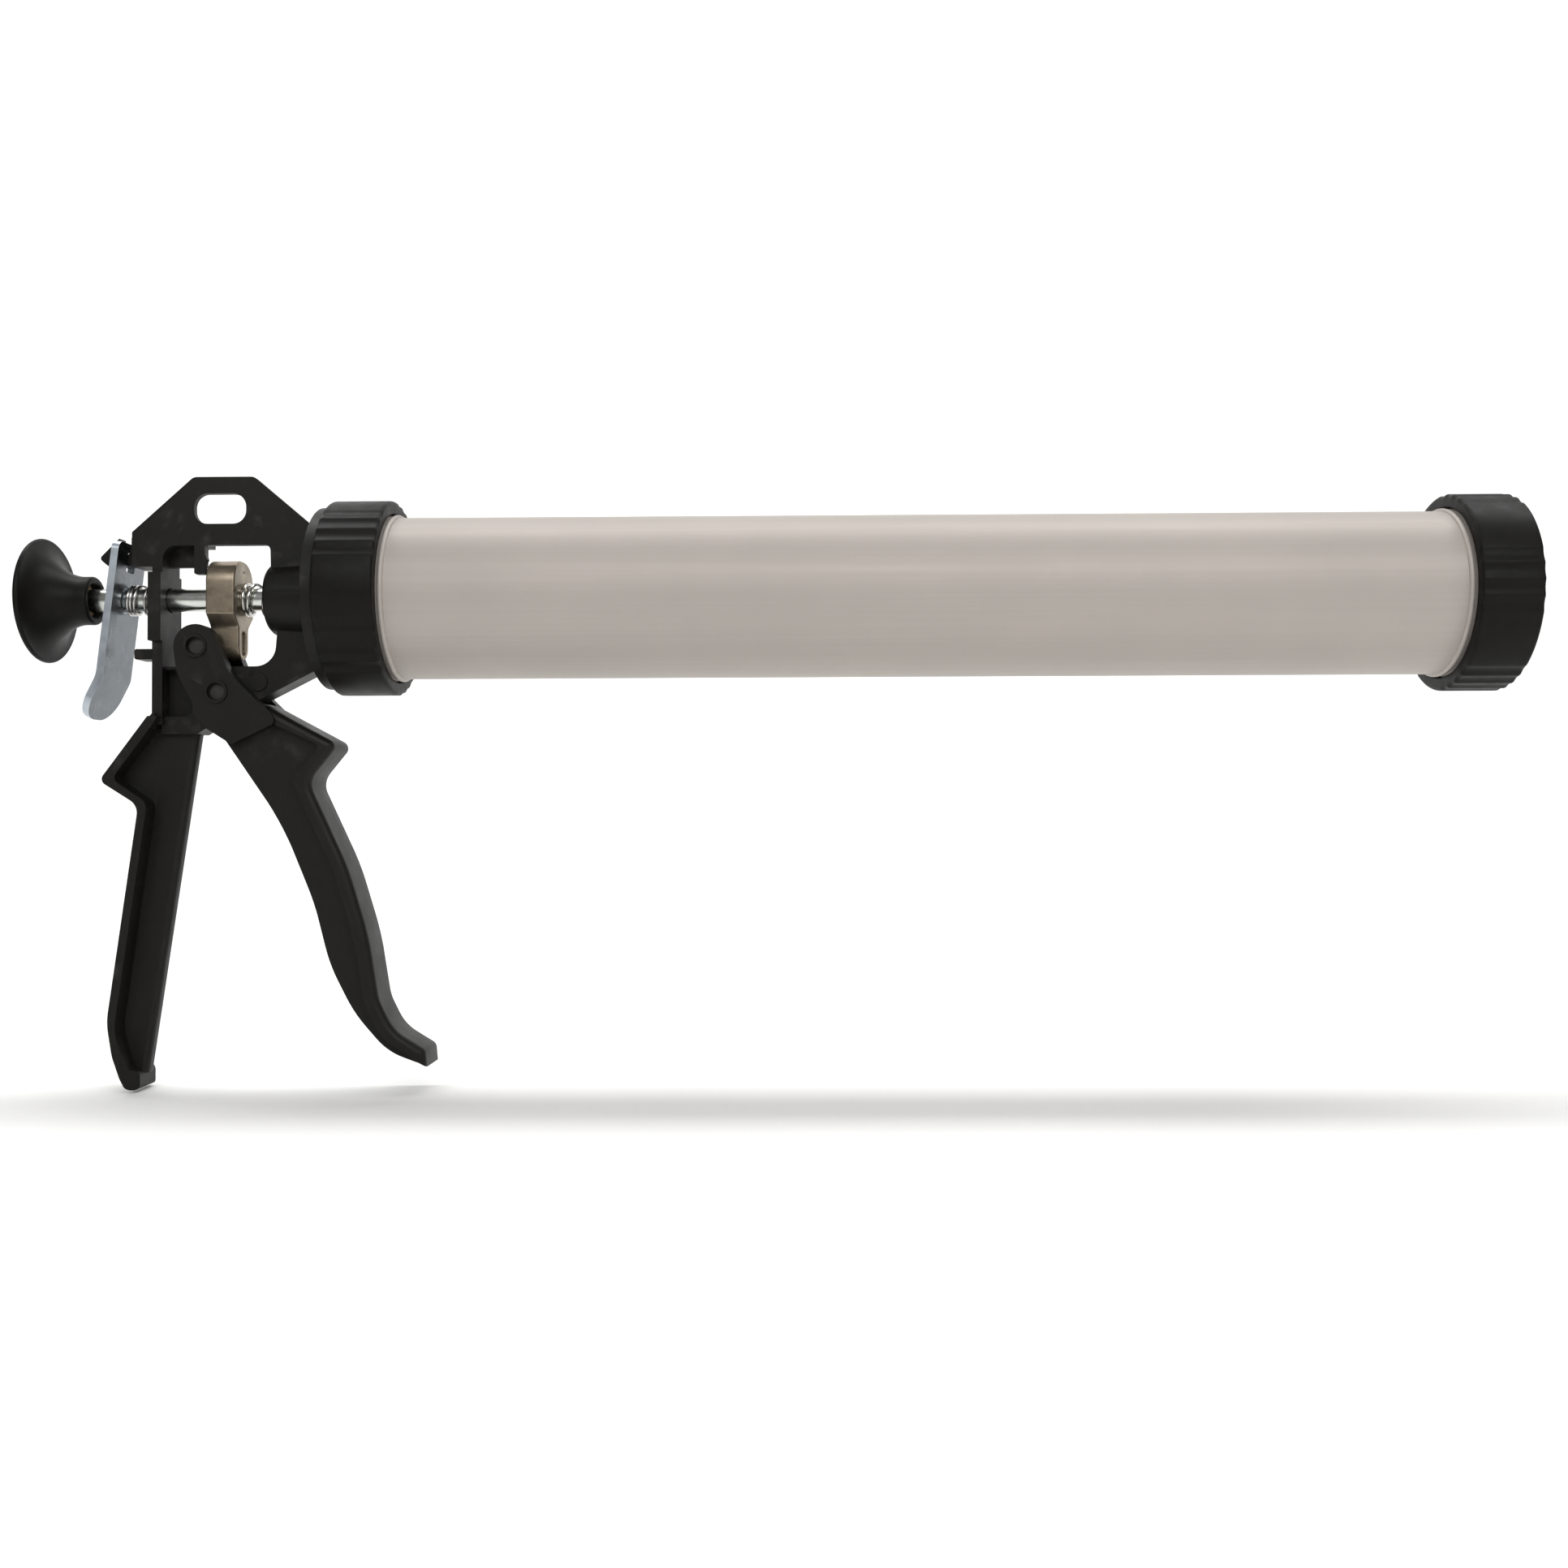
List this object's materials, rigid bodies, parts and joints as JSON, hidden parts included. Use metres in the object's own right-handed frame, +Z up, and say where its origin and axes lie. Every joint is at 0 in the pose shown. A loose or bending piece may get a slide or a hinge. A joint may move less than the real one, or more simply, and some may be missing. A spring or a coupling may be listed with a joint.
{
  "type": "caulking gun",
  "caption": "Pistol-grip caulking gun for soft foil packs: closed metal barrel, screwed collars, thrust rod with pull knob, trigger and release plate.",
  "frame": {"origin": "middle of the nozzle opening, in the front face of the front collar", "axes": "+X forward along the barrel, out of the nozzle opening; +Z up, toward the hanging slot; the gun's left side faces -Y"},
  "size_m": [0.5042, 0.0664, 0.2079],
  "materials": {
    "casting": "satin brown-black powder coat on die-cast aluminium",
    "tube": "drawn aluminium, matte anodised",
    "collar": "moulded glass-filled nylon, satin brown-black",
    "knob": "moulded nylon, satin black",
    "rod": "ground steel rod, clear zinc plated",
    "brass": "turned brass",
    "piston": "moulded polypropylene",
    "seal": "nitrile rubber ring",
    "zinc": "zinc plated steel",
    "pin": "blackened steel pin",
    "driver": "sintered steel, oiled, brownish grey",
    "spring": "drawn spring steel wire, zinc plated",
    "plate": "stamped steel, bright zinc plated"
  },
  "bodies": {
    "frame": {"frame_casting": "casting", "barrel_tube": "tube", "rod_bush": "brass", "pivot_pin": "pin"},
    "rear_collar": {"rear_collar": "collar"},
    "front_collar": {"front_collar": "collar"},
    "trigger": {"trigger": "casting", "thrust_pin": "pin"},
    "driver": {"driver_block": "driver", "driver_spring": "spring"},
    "rod": {"thrust_rod": "rod", "pull_knob": "knob", "knob_insert": "brass", "rear_washer": "zinc", "front_washer": "zinc", "lock_washer": "zinc", "piston_nut": "zinc"},
    "piston": {"piston_body": "piston", "piston_seal": "seal"},
    "release": {"release_plate": "plate", "release_spring": "spring"}
  },
  "joints": [
    {"name": "trigger_pull", "type": "hinge", "parent": "frame", "child": "trigger", "pos_m": [-0.4345, 0, -0.0324], "axis": [0, 1, 0], "range_deg": [0, 30], "stiffness_Nm_per_rad": 0.28, "springref_deg": -34.38},
    {"name": "driver_slide", "type": "slide", "parent": "frame", "child": "driver", "axis": [1, 0, 0], "range_m": [0, 0.0088], "deforming": ["driver_spring"]},
    {"name": "rod_slide", "type": "slide", "parent": "frame", "child": "rod", "axis": [-1, 0, 0], "range_m": [-0.004, 0.345]},
    {"name": "piston_spin", "type": "hinge", "parent": "rod", "child": "piston", "pos_m": [-0.023, 0, 0], "axis": [1, 0, 0], "continuous": true},
    {"name": "release_press", "type": "hinge", "parent": "frame", "child": "release", "pos_m": [-0.4692, 0, 0.0172], "axis": [0, -1, 0], "range_deg": [0, 10], "stiffness_Nm_per_rad": 0.3, "springref_deg": -17.19, "deforming": ["release_spring"]},
    {"name": "rear_collar_turn", "type": "hinge", "parent": "frame", "child": "rear_collar", "pos_m": [-0.3858, 0, 0], "axis": [1, 0, 0], "continuous": true},
    {"name": "front_collar_off", "type": "slide", "parent": "frame", "child": "front_collar", "axis": [1, 0, 0], "range_m": [0, 0.06]}
  ],
  "couplings": [
    {"joint": "driver_slide", "follows": "trigger_pull", "m_per_rad": 0.01662}
  ]
}
